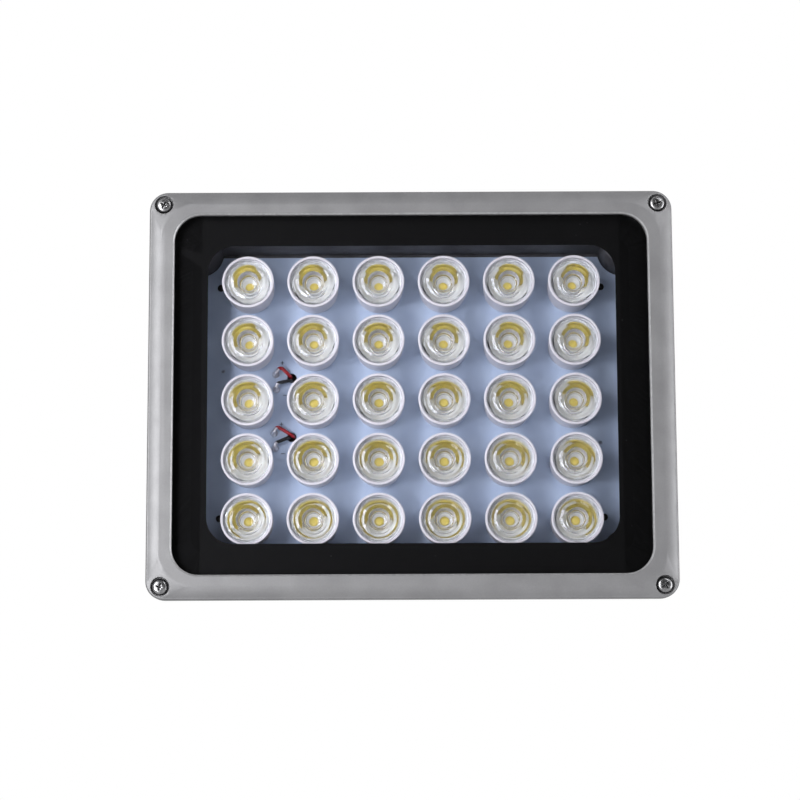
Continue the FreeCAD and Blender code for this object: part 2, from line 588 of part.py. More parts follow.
def make_row(body, row):
    """Repeats an LED's piece across a row, and seats the row at its height."""
    repeat(body, "X_Axis", "lens_pitch_x", "lens_columns")
    on_head(body, "lens_pitch_x * (1 - lens_columns) / 2", "0",
            f"lens_array_z + lens_pitch_z * ((lens_rows + 1) / 2 - {row})")


def make_emitters(row):
    """Round power LEDs: a tall body on the board and a silicone dome."""
    body = new_body(f"led_emitters_row_{row}")
    top = f"{BOARD_FRONT} - emitter_body_height"
    turn(body, [("0", f"{top} - emitter_dome"), ("emitter_dome", top), ("emitter_body", top),
                ("emitter_body", BOARD_FRONT), ("0", BOARD_FRONT)], {0: "emitter_dome"})
    make_row(body, row)


def make_holders(row):
    """White cups that taper to the board, with an inner ledge under the lens's flange."""
    body = new_body(f"lens_holders_row_{row}")
    floor = f"{BOARD_FRONT} - holder_floor"
    ledge = f"{RIM_FRONT} + lens_setback + lens_flange_height"
    turn(body, [("holder_rim - rim_lip + rim_round", RIM_FRONT), ("holder_rim - rim_round", RIM_FRONT),
                ("holder_rim", f"{RIM_FRONT} + rim_round"), ("holder_foot", BOARD_FRONT),
                ("holder_floor_hole", BOARD_FRONT), ("holder_floor_hole", floor),
                ("holder_foot - holder_wall", floor),
                ("lens_shoulder + lens_play", ledge), ("lens_front + lens_play", ledge),
                ("lens_front + lens_play", f"{RIM_FRONT} + rim_round")])
    make_row(body, row)


def make_lenses(row):
    """Clear collimators: a flanged front with a round recess, a curved side and a cavity over the LED."""
    body = new_body(f"lens_optics_row_{row}")
    front = f"{RIM_FRONT} + lens_setback"
    ledge = f"{front} + lens_flange_height"
    foot = f"{BOARD_FRONT} - emitter_body_height - lens_play"
    turn(body, [("0", f"{front} + lens_recess_depth"), ("lens_recess_floor", f"{front} + lens_recess_depth"),
                ("lens_recess", front), ("lens_front", front), ("lens_front", ledge),
                ("lens_shoulder", ledge), ("lens_foot", foot), ("lens_cavity", foot),
                ("lens_cavity_top", f"{foot} - lens_cavity_depth"), ("0", f"{foot} - lens_cavity_depth")],
         {5: "lens_side_radius"})
    make_row(body, row)


# Leads and solder joints

# A bend takes up no more than this share of the shorter of its two runs.
LONGEST_SETBACK = 0.45


def tube(route, radius):
    """A round tube along straight runs joined by tangent arcs."""
    spots = [Vector(*(size(value) for value in point)) for point in route]
    edges = []
    start = spots[0]
    for before, corner, after in zip(spots, spots[1:], spots[2:]):
        into, away = (corner - before), (after - corner)
        half_turn = into.getAngle(away) / 2
        shorter = min(into.Length, away.Length)
        bend = min(size("lead_bend"), LONGEST_SETBACK * shorter / math.tan(half_turn))
        setback = bend * math.tan(half_turn)
        first = corner - into.normalize() * setback
        last = corner + away.normalize() * setback
        inward = (away - into).normalize()
        middle = corner + inward * (bend / math.cos(half_turn) - bend)
        edges.append(Part.LineSegment(start, first).toShape())
        edges.append(Part.Arc(first, middle, last).toShape())
        start = last
    edges.append(Part.LineSegment(start, spots[-1]).toShape())
    path = Part.Wire(edges)
    section = Part.Wire(Part.Circle(spots[0], spots[1] - spots[0], radius).toShape())
    return path.makePipeShell([section], True, False), path.Length * math.pi * radius ** 2


def add_tubes(label, routes, radius):
    """One node of tubes, whose volume is compared with section times length."""
    made = [tube(route, size(radius)) for route in routes]
    for solid, expected in made:
        if abs(solid.Volume / expected - 1) > TOLERANCE:
            raise RuntimeError(f"{label} has an unexpected volume")
    piece = doc.addObject("Part::Feature", label)
    piece.Shape = made[0][0] if len(made) == 1 else Part.makeCompound([solid for solid, _ in made])
    on_head(piece)
    pieces.append(piece)


# Each pair of leads shares a hole in the board. Across the board (x, z), as offsets from the hole's centre:
# where the lead is soldered, where it turns, and where it passes the hole. Then the side of the driver's
# middle that it enters, and the stagger that keeps the pair apart behind the board.
UPPER, LOWER = ("upper_lead_hole_z", "1"), ("lower_lead_hole_z", "-1")
LEADS = [
    {"label": "upper_red_lead", "pair": UPPER, "joint": (-7.05, 1.64), "corner": (-5.05, 4.84),
     "hole": (-0.65, 0.54), "entry": "1", "stagger": "0"},
    {"label": "upper_black_lead", "pair": UPPER, "joint": (-6.85, -4.96), "corner": (-6.25, -2.56),
     "hole": (-0.25, -1.26), "entry": "-1", "stagger": "lead_stagger"},
    {"label": "lower_red_lead", "pair": LOWER, "joint": (-7.75, 1.79), "corner": (-6.45, 4.59),
     "hole": (0.85, 0.19), "entry": "1", "stagger": "0"},
    {"label": "lower_black_lead", "pair": LOWER, "joint": (-7.25, -4.81), "corner": (-7.05, -2.81),
     "hole": (-0.95, -0.21), "entry": "-1", "stagger": "lead_stagger"},
]


def near_hole(lead, stop):
    """The place of one of the lead's stops on the board."""
    x, z = lead[stop]
    return f"{x} - lead_hole_x", f"{lead['pair'][0]} + {z}"


def make_leads():
    top = f"{BOARD_FRONT} - solder_height"
    over = f"{top} - lead_rise"
    for lead in LEADS:
        turn_back = f"{FLOOR_REAR} + lead_drop + {lead['stagger']}"
        entry_z = f"{lead['pair'][1]} * {DRIVER_Z} + {lead['entry']} * lead_spread"
        (joint_x, joint_z), (corner_x, corner_z), (hole_x, hole_z) = (
            near_hole(lead, stop) for stop in ("joint", "corner", "hole"))
        route = [(joint_x, top, joint_z), (joint_x, over, joint_z), (corner_x, over, corner_z),
                 (hole_x, over, hole_z), (hole_x, turn_back, hole_z),
                 (f"{DRIVER_LEFT} - lead_entry", turn_back, entry_z), (DRIVER_LEFT, turn_back, entry_z)]
        add_tubes(lead["label"], [route], "lead_radius")

    cones = []
    for lead in LEADS:
        cone = doc.addObject("Part::Cone", f"{lead['label']}_joint")
        cone.Placement.Rotation = FreeCAD.Rotation(Vector(1, 0, 0), 90)
        bind(cone, {"Radius1": "solder_foot", "Radius2": "solder_top", "Height": "solder_height"})
        joint_x, joint_z = near_hole(lead, "joint")
        place(cone, joint_x, BOARD_FRONT, joint_z)
        cones.append(cone)
    joints = doc.addObject("Part::Compound", "solder_joints")
    joints.Links = cones
    on_head(joints)
    pieces.append(joints)


# Drivers, clamp and terminal block

def make_drivers():
    for label, sign in (("upper_driver", "1"), ("lower_driver", "-1")):
        driver = slab(label, "driver_length", "driver_height", "driver_edge", FLOOR_REAR, "driver_depth",
                      "driver_shift_x", f"{sign} * {DRIVER_Z}")
        rear = edges_at_depth(driver, size(f"{FLOOR_REAR} + driver_depth"))
        soften(driver, "Chamfer", rear, "driver_edge / 2")


def make_driver_clamp():
    """A strip of spring steel bent over both drivers, screwed down at its two feet."""
    clamp = new_body("driver_clamp")
    sketch = new_sketch(clamp, "YZ_Plane", "driver_shift_x - clamp_width / 2")
    low, foot_top = FLOOR_REAR, f"{FLOOR_REAR} + clamp_thickness"
    inside, top = f"{FLOOR_REAR} + driver_depth", f"{FLOOR_REAR} + driver_depth + clamp_thickness"
    wide, outer, inner = f"{CLAMP_HALF} + clamp_foot", CLAMP_HALF, f"{CLAMP_HALF} - clamp_thickness"
    half = [(low, wide), (foot_top, wide), (foot_top, outer), (top, outer)]
    under = [(inside, inner), (low, inner)]
    points = half + [(y, f"-({z})") for y, z in reversed(half)]
    points += [(y, f"-({z})") for y, z in reversed(under)] + under
    draw_outline(sketch, points)
    pad(clamp, sketch, "clamp_width", False)
    drill(clamp, [("driver_shift_x", CLAMP_SCREW_Z), ("driver_shift_x", f"-1 * {CLAMP_SCREW_Z}")],
          "clamp_screw_shank + screw_play", FLOOR_REAR, "clamp_thickness")

    screws = new_body("driver_clamp_screws")
    head_rear = "clamp_screw_head_height"
    turn(screws, [("0", head_rear), ("clamp_screw_head * head_flat", head_rear),
                  ("clamp_screw_head", "clamp_screw_edge"), ("clamp_screw_head", "0"),
                  ("clamp_screw_shank", "0"), ("clamp_screw_shank", "-clamp_screw_length"),
                  ("0", "-clamp_screw_length")])
    repeat(screws, "Z_Axis", f"2 * {CLAMP_SCREW_Z}", "2")
    on_head(screws, "driver_shift_x", foot_top, f"-1 * {CLAMP_SCREW_Z}")


def make_terminal_block():
    slab("terminal_block", "terminal_width", "terminal_length", "driver_edge", FLOOR_REAR,
         "terminal_height", TERMINAL_X)
    top = f"{FLOOR_REAR} + terminal_height"
    for label, near in (("live_leads", "1"), ("neutral_leads", "2")):
        routes = []
        for sign in ("1", "-1"):
            z = f"{sign} * {near} * terminal_pitch"
            over = f"{FLOOR_REAR} + mains_lead_depth"
            routes.append([(DRIVER_RIGHT, over, z), (TERMINAL_X, over, z), (TERMINAL_X, top, z)])
        add_tubes(label, routes, "mains_lead_radius")


# Rear cover

def make_rear_cover():
    screws = four_corners(COVER_SCREW_X, COVER_SCREW_Z)
    inset = "2 * cover_gasket_inset"
    gasket = slab("rear_cover_gasket", f"box_width - {inset}", f"box_height - {inset}",
                  "box_corner - cover_gasket_inset", BOX_REAR, "cover_gasket_thickness")
    cut_window(gasket, "box_width - 2 * box_wall", "box_height - 2 * box_wall", "box_inner_corner",
               BOX_REAR, "cover_gasket_thickness")
    raise_bosses(gasket, screws, "box_boss", BOX_REAR, "cover_gasket_thickness")
    drill(gasket, screws, "cover_screw_shank + screw_play", BOX_REAR, "cover_gasket_thickness")

    cover = slab("rear_cover", "box_width", "box_height", "box_corner", COVER_FRONT, "cover_thickness")
    drill(cover, screws, "cover_screw_shank + screw_play", COVER_FRONT, "cover_thickness")
    soften(cover, "Fillet", edges_at_depth(cover, size(COVER_REAR),
                                           lambda box: box.DiagonalLength > size("3 * cover_screw_shank")),
           "cover_edge_round")

    fixings = pan_screw("rear_cover_screws", "cover_screw_head", "cover_screw_head_height",
                        "cover_screw_shank", "cover_screw_length", "0")
    repeat(fixings, "X_Axis", f"2 * {COVER_SCREW_X}", "2")
    repeat(fixings, "Z_Axis", f"2 * {COVER_SCREW_Z}", "2")
    on_head(fixings, COVER_SCREW_X, COVER_REAR, f"-1 * {COVER_SCREW_Z}")
    fixings.Placement.Rotation = FreeCAD.Rotation(Vector(0, 0, 1), 180)


# Cable gland, turned about a vertical axis and hanging from the compartment's underside

def hang(piece, z):
    """Stands a piece's turning axis upright, with its depths counted downwards from z."""
    piece.Placement.Rotation = FreeCAD.Rotation(Vector(1, 0, 0), -90)
    on_head(piece, "gland_x", f"{FLOOR_REAR} + gland_depth", z)


def hexagon(sketch, across):
    """A hexagon given by its corner radius."""
    rise = f"{across} * cos(30)"
    draw_outline(sketch, [(across, "0"), (f"{across} / 2", rise), (f"-({across}) / 2", rise),
                          (f"-({across})", "0"), (f"-({across}) / 2", f"-({rise})"),
                          (f"{across} / 2", f"-({rise})")])


def make_gland():
    washer = new_body("gland_washer")
    turn(washer, [("gland_thread + gland_play", "0"), ("gland_washer_radius", "0"),
                  ("gland_washer_radius", "gland_washer_thickness"),
                  ("gland_thread + gland_play", "gland_washer_thickness")])
    hang(washer, BOX_UNDERSIDE)

    body = new_body("gland_body")
    collar_end = "gland_washer_thickness + gland_collar_height"
    neck_end = f"{collar_end} + gland_neck_length"
    inner_end = "-gland_inner_length"
    turn(body, [("gland_bore", inner_end), ("gland_thread", inner_end),
                ("gland_thread", neck_end), ("seal_bore + gland_cap_wall + seal_play", neck_end),
                ("seal_bore + gland_cap_wall + seal_play", collar_end), ("gland_bore", collar_end)])
    collar = new_sketch(body, offset="gland_washer_thickness")
    hexagon(collar, "gland_collar")
    draw_circle(collar, "gland_thread")
    pad(body, collar, "gland_collar_height")
    hang(body, BOX_UNDERSIDE)

    locknut = new_body("gland_locknut")
    ring = new_sketch(locknut, offset="-box_wall - locknut_height")
    hexagon(ring, "gland_collar")
    draw_circle(ring, "gland_thread + gland_play")
    pad(locknut, ring, "locknut_height")
    hang(locknut, BOX_UNDERSIDE)

    seal = new_body("gland_seal")
    seal_end = f"{neck_end} + seal_standout"
    turn(seal, [("seal_bore", f"{seal_end} - seal_length"),
                ("seal_bore + gland_cap_wall", f"{seal_end} - seal_length"),
                ("seal_bore + gland_cap_wall", seal_end), ("seal_bore", seal_end)])
    hang(seal, BOX_UNDERSIDE)

    cap = new_body("gland_cap")
    cap_start = f"{collar_end} + gland_cap_gap"
    cap_end = f"{cap_start} + gland_cap_length"
    cap_inner, cap_outer = "gland_thread + gland_play", "gland_thread + gland_cap_wall"
    turn(cap, [(cap_inner, cap_start), (cap_outer, cap_start), (cap_outer, f"{cap_end} - gland_cap_slope"),
               ("gland_cap_mouth + gland_cap_lip", cap_end), ("gland_cap_mouth", cap_end),
               ("gland_cap_mouth", seal_end), (cap_inner, seal_end)])
    hang(cap, BOX_UNDERSIDE)


# Mounting bracket and pivots

def make_bracket():
    """A strip bent to a U: its plate lies on the wall, and its arms reach to the pivots."""
    bracket = new_body("mounting_bracket")
    place(bracket)
    tip = "-(arm_reach + arm_height / 2)"
    strip = new_sketch(bracket, "XY_Plane", "-(plate_height / 2)")
    outer, inner, face = ARM_OUTER, ARM_INNER, "-bracket_thickness"
    round_out, round_in = "(bracket_bend + bracket_thickness)", "bracket_bend"
    half = [(outer, tip), (outer, f"-{round_out}"), (f"{outer} - {round_out}", "0")]
    under = [(f"{inner} - {round_in}", face), (inner, f"{face} - {round_in}"), (inner, tip)]
    points = half + [(f"-({x})", y) for x, y in reversed(half)]
    points += [(f"-({x})", y) for x, y in reversed(under)] + under
    draw_outline(strip, points, {1: round_out, 3: round_out, 7: round_in, 9: round_in}, hollows=(7, 9))
    pad(bracket, strip, "plate_height", False)

    for sign in ("1", "-1"):
        waste = new_sketch(bracket, "YZ_Plane", ARM_OUTER)
        narrow, wide = f"{sign} * arm_height / 2", f"{sign} * plate_height / 2"
        past, beyond = "-(arm_reach + arm_height)", f"{sign} * plate_height"
        draw_outline(waste, [("-arm_taper_start", wide), ("-arm_taper_end", narrow), (past, narrow),
                             (past, beyond), ("-arm_taper_start", beyond)])
        pocket(bracket, waste, f"2 * {ARM_OUTER}")
    front = size(tip)
    ends = edges_at_depth(bracket, front, lambda box: box.ZLength < TOLERANCE)
    soften(bracket, "Fillet", ends, "arm_end_round")

    drill(bracket, [("-arm_reach", "0")], "pivot_shank + pivot_fit", ARM_OUTER, f"2 * {ARM_OUTER}",
          "YZ_Plane")
    slots = new_sketch(bracket, offset=face)
    for sign in ("-1", "1"):
        draw_rectangle(slots, "slot_length", "slot_width", "slot_width * slot_round",
                       f"{sign} * slot_spacing / 2")
    draw_circle(slots, "centre_hole")
    pocket(bracket, slots, "bracket_thickness")


def on_pivot(piece, side, x):
    """Lays a piece's turning axis along the pivot axis, with its depths counted outwards from x."""
    angle = -90 if side == "1" else 90
    piece.Placement.Rotation = FreeCAD.Rotation(Vector(0, 0, 1), angle)
    place(piece, f"{side} * ({x})", "-arm_reach")


def pivot_ring(label, side, start, thickness, inner, outer, angle=360):
    ring = new_body(label)
    turn(ring, [(inner, "0"), (outer, "0"), (outer, thickness), (inner, thickness)], angle=angle)
    on_pivot(ring, side, start)


def make_pivot(name, side):
    hole = "pivot_shank + washer_play"
    pivot_ring(f"{name}_spacer", side, PIVOT_BOSS_END, "spacer_thickness", hole, "spacer_radius")
    pivot_ring(f"{name}_flat_washer", side, ARM_OUTER, "flat_washer_thickness", hole, "flat_washer_radius")
    spring = f"{ARM_OUTER} + flat_washer_thickness"
    pivot_ring(f"{name}_spring_washer", side, spring, "spring_washer_thickness", hole,
               "spring_washer_radius", size("spring_washer_turn"))

    bolt = new_body(f"{name}_pivot_bolt")
    turn(bolt, [("0", "0"), ("0", "-pivot_bolt_length"), ("pivot_shank - screw_point", "-pivot_bolt_length"),
                ("pivot_shank", "screw_point - pivot_bolt_length"), ("pivot_shank", "0")])
    head = new_sketch(bolt, offset="0")
    hexagon(head, "pivot_head / cos(30)")
    pad(bolt, head, "pivot_head_height")
    on_pivot(bolt, side, BOLT_SEAT)


make_front_bezel()
make_bezel_screws()
make_glass()
make_rear_housing()
make_board()
for row_number in range(1, int(size("lens_rows")) + 1):
    make_emitters(row_number)
    make_holders(row_number)
    make_lenses(row_number)
make_leads()
make_drivers()
make_driver_clamp()
make_terminal_block()
make_rear_cover()
make_gland()
make_bracket()
for pivot_name, pivot_side in (("left", "-1"), ("right", "1")):
    make_pivot(pivot_name, pivot_side)

# Checks, then one file for each piece
doc.recompute()
for item in doc.Objects:
    if "Invalid" in item.State or "Error" in item.State:
        raise RuntimeError(f"{item.Label} is in state {item.State}")
for piece in pieces:
    if piece.Shape.isNull() or not piece.Shape.isValid() or not piece.Shape.Solids:
        raise RuntimeError(f"{piece.Label} has no valid solid")
for piece in pieces:
    piece.Shape.exportStep(f"parts/{piece.Label}.step")
print(f"{len(pieces)} pieces written")
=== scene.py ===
import math

import bmesh
import bpy
from mathutils import Matrix, Quaternion, Vector


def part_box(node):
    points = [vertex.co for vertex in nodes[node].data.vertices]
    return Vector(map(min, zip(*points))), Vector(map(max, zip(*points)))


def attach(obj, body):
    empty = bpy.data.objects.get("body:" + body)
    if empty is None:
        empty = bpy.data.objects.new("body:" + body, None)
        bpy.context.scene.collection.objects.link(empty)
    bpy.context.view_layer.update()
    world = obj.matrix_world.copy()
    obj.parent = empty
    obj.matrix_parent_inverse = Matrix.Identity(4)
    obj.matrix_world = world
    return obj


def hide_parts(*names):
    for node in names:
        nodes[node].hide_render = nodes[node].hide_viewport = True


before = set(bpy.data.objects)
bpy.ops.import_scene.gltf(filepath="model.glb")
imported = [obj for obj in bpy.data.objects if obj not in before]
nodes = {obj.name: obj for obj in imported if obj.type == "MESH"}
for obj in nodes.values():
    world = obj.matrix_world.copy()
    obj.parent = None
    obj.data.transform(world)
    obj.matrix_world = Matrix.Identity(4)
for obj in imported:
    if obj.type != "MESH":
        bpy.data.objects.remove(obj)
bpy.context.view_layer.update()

MM = 0.001
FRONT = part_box("front_bezel")[0].y
RIM_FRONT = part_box("lens_holders_row_1")[0].y
BOARD_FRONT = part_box("led_board")[0].y
ROWS = range(1, 6)
COLUMNS = 6

# The collimator lens, in millimetres, with depths counted from its front
ACRYLIC_IOR = 1.49
LENS_RECESS = 0.9  # from the holder's rim back to the lens
LENS_SHOULDER = 9.4  # radius of the side's cone at the flange
LENS_FLANGE_BACK = 1.75
LENS_BELLY = 8.6  # radius where the cone meets the curve
LENS_FOOT = 4.2
LENS_DEPTH = 13.2
LENS_WELL = 3.2  # radius of the well over the LED
LENS_STEP = 0.02  # radius gained by a step along the curve
LED_DEPTH = 14.6
LENS_SPIN = 17  # degrees between one lens and the next, so that they don't all look the same

# Profiles of turned pieces, as rings of (radius, depth) in millimetres
# The lens's front: the recess's shallow floor and steep wall, a flat ring, two cones, the flange
LENS_FRONT = [(0, 3.05), (0.8, 3.07), (1.6, 3.13), (2.4, 3.22), (3.1, 3.3), (3.6, 3.26),
              (3.95, 3.0), (4.15, 2.4), (4.3, 1.7), (4.42, 0.9), (4.55, 0.3), (4.68, 0.08),
              (4.9, 0.0), (6.2, 0.0), (6.3, 0.02), (7.4, 0.37), (7.55, 0.39), (8.3, 0.39),
              (8.36, 0.4), (8.85, 0.55), (8.95, 0.54), (9.05, 0.39), (9.8, 0.39), (9.95, 0.46),
              (10.0, 0.6), (10.0, 1.5), (9.9, 1.7)]
# The lens's back: the foot, then the well with a flat dome at its end
LENS_BACK = [(3.6, LENS_DEPTH), (3.4, 13.0), (LENS_WELL, 11.0), (3.0, 8.5), (2.85, 8.2),
             (2.0, 8.3), (1.0, 8.38), (0, 8.4)]
# The holder: the lens's seat, the rounded rim, the tapered outside, the foot, the hollow inside
HOLDER = [(10.1, 0.9), (10.1, 0.35), (10.18, 0.1), (10.35, 0.0), (11.0, 0.0), (11.14, 0.08),
          (11.2, 0.3), (11.1, 3.0), (10.35, 19.6), (10.3, 20.2), (4.4, 20.2), (4.3, 20.1),
          (4.3, 19.1), (4.4, 19.0), (9.2, 19.0), (9.4, 18.7), (9.55, 10.0), (9.6, 2.65),
          (10.0, 2.6), (10.1, 2.5)]
# The LED, in front of depth 0: the phosphor's dome, then the ceramic body with a rounded edge
LED = [(0, -7.6), (0.8, -7.55), (1.22, -7.35), (1.45, -6.95), (1.5, -6.45), (1.5, -6.0),
       (3.3, -6.0), (3.7, -5.95), (3.95, -5.8), (4.0, -5.5), (4.0, -0.05), (3.9, 0.0), (0, 0.0)]
PHOSPHOR_RADIUS = 1.55
LED_BODY_HEIGHT = 6.01
# A solder joint, heaped on the board
SOLDER = [(0, -1.0), (0.45, -0.98), (0.85, -0.88), (1.15, -0.68), (1.35, -0.42), (1.5, -0.18),
          (1.65, 0.0), (0, 0.0)]
# A pan head, as shares of its radius and height
PAN_HEAD = [(0, -1.0), (0.40, -0.99), (0.66, -0.95), (0.82, -0.86), (0.93, -0.70),
            (0.985, -0.50), (1.0, -0.3), (1.0, -0.04), (0.98, 0.0)]

# Places of the solder joints on the board, and of the marks beside them, as x and z in millimetres
JOINTS = ((-59.4, 12.4), (-59.2, 5.8), (-60.1, -13.6), (-59.6, -20.2))
MARKS = ((-56.6, 17.6, "+"), (-55.4, 3.2, "-"), (-56.9, -9.6, "+"), (-56.2, -22.6, "-"))
MARK_BAR = (1.7, 0.03, 0.34)  # length, thickness and width of a mark's bar
MARK_LIFT = 0.016  # from the board's face to the middle of the ink
TINNED_REACH = 2.5  # how far from its joint a lead is bare and tinned


# Shaping

def start_clean():
    """Leaves nothing selected, so that an operator acts on the new piece alone."""
    if bpy.context.object and bpy.context.object.mode != "OBJECT":
        bpy.ops.object.mode_set(mode="OBJECT")
    bpy.ops.object.select_all(action="DESELECT")


def select_only(piece):
    """Selects one piece and makes it the active one."""
    start_clean()
    piece.select_set(True)
    bpy.context.view_layer.objects.active = piece


def settle(piece, place=(0, 0, 0), turn=(0, 0, 0)):
    """Puts a piece at its place in millimetres and its turn in degrees, then moves both into its
    mesh."""
    select_only(piece)
    piece.location = [value * MM for value in place]
    piece.rotation_euler = [math.radians(value) for value in turn]
    bpy.ops.object.transform_apply(location=True, rotation=True, scale=True)
    return piece


def apply_modifier(piece, kind, **settings):
    """Adds a modifier with its settings and applies it."""
    select_only(piece)
    modifier = piece.modifiers.new(kind.title(), kind)
    for name, value in settings.items():
        setattr(modifier, name, value)
    bpy.ops.object.modifier_apply(modifier=modifier.name)


def smooth(piece, degrees=35):
    """Shades faces smooth where they meet at less than an angle."""
    select_only(piece)
    bpy.ops.object.shade_smooth_by_angle(angle=math.radians(degrees))


def flatten_normals(piece):
    """Keeps flat faces flat beside rounded edges."""
    apply_modifier(piece, "WEIGHTED_NORMAL", keep_sharp=True)


def paint(piece, material):
    """Gives the whole piece one material."""
    piece.data.materials.clear()
    piece.data.materials.append(material)


def hand_over(piece, body, slot, *replaced):
    """Lets the piece ride on its body and stand for the CAD nodes that it replaces."""
    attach(piece, body)
    if replaced:
        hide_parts(*replaced)


def select_vertices(piece, test):
    """In edit mode, selects the vertices whose place passes the test."""
    mesh = bmesh.from_edit_mesh(piece.data)
    for vertex in mesh.verts:
        vertex.select_set(test(vertex.co))
    mesh.select_flush_mode()
    bmesh.update_edit_mesh(piece.data)


def turned(name, profile, segments, closed=False):
    """A turned piece from rings of (radius, depth) in millimetres, whose axis points away from
    the viewer. A radius of 0 at either end closes the piece there, and closed joins the last ring
    to the first."""
    axis_gap = 1e-7
    start_clean()
    rings = list(profile)
    pole = rings.pop(0) if rings[0][0] == 0 else None
    last_pole = rings.pop() if rings[-1][0] == 0 else None
    radius, depth = rings[0]
    bpy.ops.mesh.primitive_circle_add(
        vertices=segments, radius=radius * MM, location=(0, 0, depth * MM),
        fill_type="TRIFAN" if pole else "NOTHING")
    piece = bpy.context.object
    piece.name = name
    bpy.ops.object.transform_apply(location=True, rotation=False, scale=False)
    bpy.ops.object.mode_set(mode="EDIT")
    bpy.ops.mesh.select_mode(type="VERT")
    if pole:
        select_vertices(piece, lambda co: math.hypot(co.x, co.y) < axis_gap)
        bpy.ops.transform.translate(value=(0, 0, (pole[1] - depth) * MM))
    select_vertices(piece, lambda co: math.hypot(co.x, co.y) > axis_gap)
    for next_radius, next_depth in rings[1:] + ([rings[0]] if closed else []):
        bpy.ops.mesh.extrude_edges_move(
            TRANSFORM_OT_translate={"value": (0, 0, (next_depth - depth) * MM)})
        share = next_radius / radius
        bpy.ops.transform.resize(value=(share, share, 1),
                                 center_override=(0, 0, next_depth * MM))
        radius, depth = next_radius, next_depth
    if last_pole:
        bpy.ops.mesh.extrude_edges_move(
            TRANSFORM_OT_translate={"value": (0, 0, (last_pole[1] - depth) * MM)})
        bpy.ops.mesh.merge(type="CENTER")
    bpy.ops.mesh.select_all(action="SELECT")
    bpy.ops.mesh.remove_doubles(threshold=axis_gap)
    bpy.ops.mesh.normals_make_consistent(inside=False)
    bpy.ops.object.mode_set(mode="OBJECT")
    return settle(piece, turn=(-90, 0, 0))


def block(width, depth, height):
    """A block with sides in millimetres, to be shaped further."""
    start_clean()
    bpy.ops.mesh.primitive_cube_add(size=1, location=(0, 0, 0))
    piece = bpy.context.object
    piece.scale = (width * MM, depth * MM, height * MM)
    bpy.ops.object.transform_apply(scale=True)
    return piece


def joined(pieces, name):
    """Joins several pieces into one with a new name."""
    start_clean()
    for piece in pieces:
        piece.select_set(True)
    bpy.context.view_layer.objects.active = pieces[0]
    bpy.ops.object.join()
    piece = bpy.context.object
    piece.name = name
    return piece


def copies(template, name, places, turns):
    """Copies a template to several places and turns, and joins the copies into one piece."""
    made = []
    for place, turn in zip(places, turns):
        select_only(template)
        bpy.ops.object.duplicate()
        made.append(settle(bpy.context.object, place, turn))
    return joined(made, name)


def discard(*templates):
    """Removes templates and cutters that have done their work."""
    for template in templates:
        bpy.data.objects.remove(template)


def dressed(node, slot, material, edge=0.0, body="lamp_head"):
    """A merged copy of a CAD node with softened edges and smooth curved faces."""
    piece = bpy.data.objects.new(f"{node}_finished", nodes[node].data.copy())
    bpy.context.scene.collection.objects.link(piece)
    select_only(piece)
    bpy.ops.object.mode_set(mode="EDIT")
    bpy.ops.mesh.select_all(action="SELECT")
    bpy.ops.mesh.remove_doubles(threshold=2e-6)
    bpy.ops.mesh.dissolve_limited(angle_limit=math.radians(0.3))
    bpy.ops.object.mode_set(mode="OBJECT")
    if edge:
        apply_modifier(piece, "BEVEL", width=edge * MM, segments=2, limit_method="ANGLE",
                       angle_limit=math.radians(32), miter_outer="MITER_ARC")
    smooth(piece)
    flatten_normals(piece)
    paint(piece, material)
    hand_over(piece, body, slot, node)
    return piece


# Materials

def hex_colour(text):
    """An sRGB hex colour as linear light."""
    channels = [int(text[i:i + 2], 16) / 255 for i in (0, 2, 4)]
    return [c / 12.92 if c <= 0.04045 else ((c + 0.055) / 1.055) ** 2.4 for c in channels] + [1]


def add(tree, kind, sockets=None, **settings):
    """Adds a node with its settings, and sets or links its sockets."""
    node = tree.nodes.new("ShaderNode" + kind)
    for name, value in settings.items():
        setattr(node, name, value)
    for socket, value in (sockets or {}).items():
        if isinstance(value, bpy.types.NodeSocket):
            tree.links.new(value, node.inputs[socket])
        else:
            node.inputs[socket].default_value = value
    return node


def new_material(name):
    """An empty material, its node tree and the object's own coordinates."""
    material = bpy.data.materials.new(name)
    material.use_nodes = True
    tree = material.node_tree
    tree.nodes.clear()
    return material, tree, add(tree, "TexCoord").outputs["Object"]


def per_metre(size):
    """The scale at which a texture's features measure this many millimetres."""
    return 1 / (size * MM)


def wander(tree, coords, size, detail, low, high):
    """A value that wanders between low and high in patches of the given size."""
    patches = add(tree, "TexNoise", {"Vector": coords, "Scale": per_metre(size),
                                     "Detail": detail})
    spread = add(tree, "MapRange", {"Value": patches.outputs["Fac"],
                                    "To Min": low, "To Max": high})
    return spread.outputs["Result"]


def mottled(tree, coords, light, dark, size, detail=3.0, start=0.3, end=0.7):
    """A colour that goes from dark to light where noise of the given size rises from start to
    end."""
    patches = add(tree, "TexNoise", {"Vector": coords, "Scale": per_metre(size),
                                     "Detail": detail})
    spread = add(tree, "MapRange", {"Value": patches.outputs["Fac"],
                                    "From Min": start, "From Max": end})
    mix = add(tree, "Mix", {"Factor": spread.outputs["Result"]}, data_type="RGBA")
    mix.inputs["A"].default_value = hex_colour(dark)
    mix.inputs["B"].default_value = hex_colour(light)
    return mix.outputs["Result"]


def grain(tree, coords, size, depth, normal=None):
    """A bump of grains of a size and depth in millimetres."""
    grains = add(tree, "TexNoise", {"Vector": coords, "Scale": per_metre(size), "Detail": 2.0})
    sockets = {"Height": grains.outputs["Fac"], "Distance": depth * MM, "Strength": 1.0}
    if normal:
        sockets["Normal"] = normal
    return add(tree, "Bump", sockets).outputs["Normal"]


